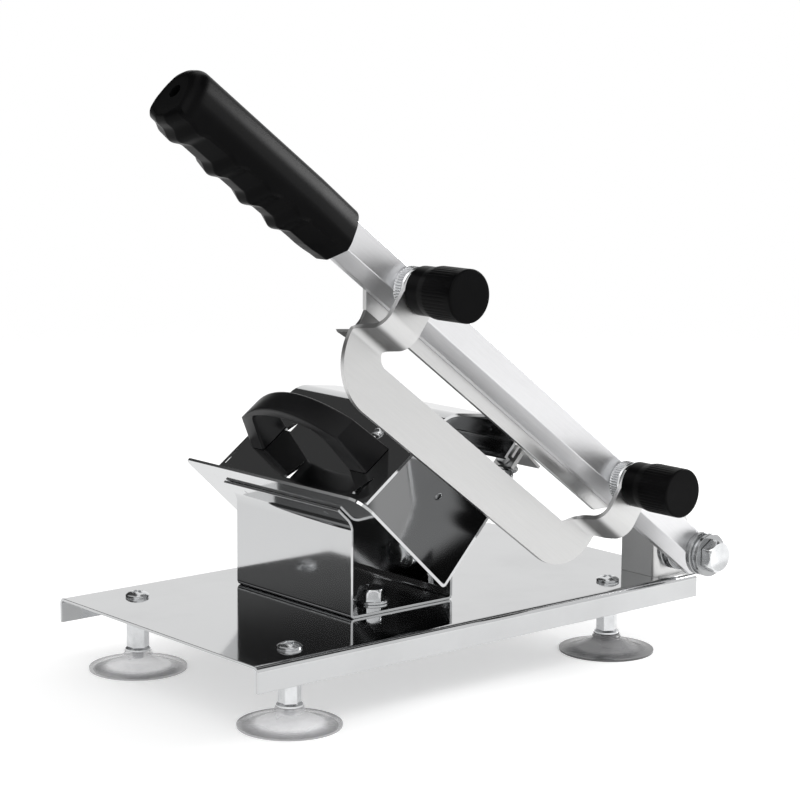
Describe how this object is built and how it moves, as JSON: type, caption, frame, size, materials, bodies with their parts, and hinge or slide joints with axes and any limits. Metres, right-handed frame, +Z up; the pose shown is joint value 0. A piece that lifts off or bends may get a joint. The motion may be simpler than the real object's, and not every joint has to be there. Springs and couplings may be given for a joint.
{
  "type": "frozen meat slicer",
  "caption": "Hand slicer: a hinged lever carries a bow blade past the end of a V trough with a sliding presser, on a sheet stand with suction feet.",
  "frame": {"origin": "middle of the bounding box's footprint, on the surface that the suction cups stand on", "axes": "+Z up; +X along the stand's long edge from the grip's end towards the pivot; +Y from the blade's side towards the far side; the blade side faces -Y"},
  "size_m": [0.3592, 0.228, 0.3125],
  "materials": {
    "mirror_steel": "mirror-polished stainless steel sheet",
    "satin_steel": "satin stainless steel",
    "aluminium": "fine satin",
    "zinc_steel": "bright zinc-plated steel fixings",
    "black_plastic": "moulded black plastic with a low sheen",
    "clear_vinyl": "soft clear vinyl with a smoky tint"
  },
  "bodies": {
    "stand": {"base_plate": "mirror_steel", "tray_bracket": "mirror_steel", "trough": "mirror_steel", "pivot_upright": "satin_steel", "suction_cup_1": "clear_vinyl", "suction_cup_2": "clear_vinyl", "suction_cup_3": "clear_vinyl", "suction_cup_4": "clear_vinyl", "foot_screw_1": "zinc_steel", "foot_screw_2": "zinc_steel", "foot_screw_3": "zinc_steel", "foot_screw_4": "zinc_steel", "foot_leg_1": "zinc_steel", "foot_leg_2": "zinc_steel", "foot_leg_3": "zinc_steel", "foot_leg_4": "zinc_steel", "bracket_bolt_1": "zinc_steel", "bracket_bolt_2": "zinc_steel", "bracket_nut_1": "zinc_steel", "bracket_nut_2": "zinc_steel", "trough_rivet_1": "zinc_steel", "trough_rivet_2": "zinc_steel", "trough_rivet_3": "zinc_steel", "trough_rivet_4": "zinc_steel", "upright_screw_1": "zinc_steel", "upright_screw_2": "zinc_steel", "pivot_bolt": "zinc_steel", "pivot_nut": "zinc_steel", "front_washer_1": "zinc_steel", "front_washer_2": "zinc_steel", "front_washer_3": "zinc_steel", "rear_washer_1": "zinc_steel", "rear_washer_2": "zinc_steel", "rear_washer_3": "zinc_steel"},
    "lever": {"lever_bar": "aluminium", "grip": "black_plastic", "guard_strip": "satin_steel", "blade": "satin_steel", "stud_upper": "zinc_steel", "stud_lower": "zinc_steel", "collar_upper": "zinc_steel", "collar_lower": "zinc_steel"},
    "knob_upper": {"knob_upper": "black_plastic"},
    "knob_lower": {"knob_lower": "black_plastic"},
    "presser": {"presser_sheet": "mirror_steel", "arch_handle": "black_plastic", "guide_shoe": "satin_steel", "handle_screw_1": "zinc_steel", "handle_screw_2": "zinc_steel", "dome_rivet": "zinc_steel", "shoe_bolt": "zinc_steel", "shoe_nut": "zinc_steel"}
  },
  "joints": [
    {"name": "lever_hinge", "type": "hinge", "parent": "stand", "child": "lever", "pos_m": [0.16568, -0.0585, 0.0538], "axis": [0, 1, 0], "range_deg": [-30, 45]},
    {"name": "knob_upper_turn", "type": "hinge", "parent": "lever", "child": "knob_upper", "pos_m": [-0.04165, -0.0585, 0.20903], "axis": [0, 1, 0], "continuous": true},
    {"name": "knob_lower_turn", "type": "hinge", "parent": "lever", "child": "knob_lower", "pos_m": [0.10486, -0.0585, 0.10021], "axis": [0, 1, 0], "continuous": true},
    {"name": "presser_slide", "type": "slide", "parent": "stand", "child": "presser", "axis": [0, 1, 0], "range_m": [0, 0.07]}
  ]
}
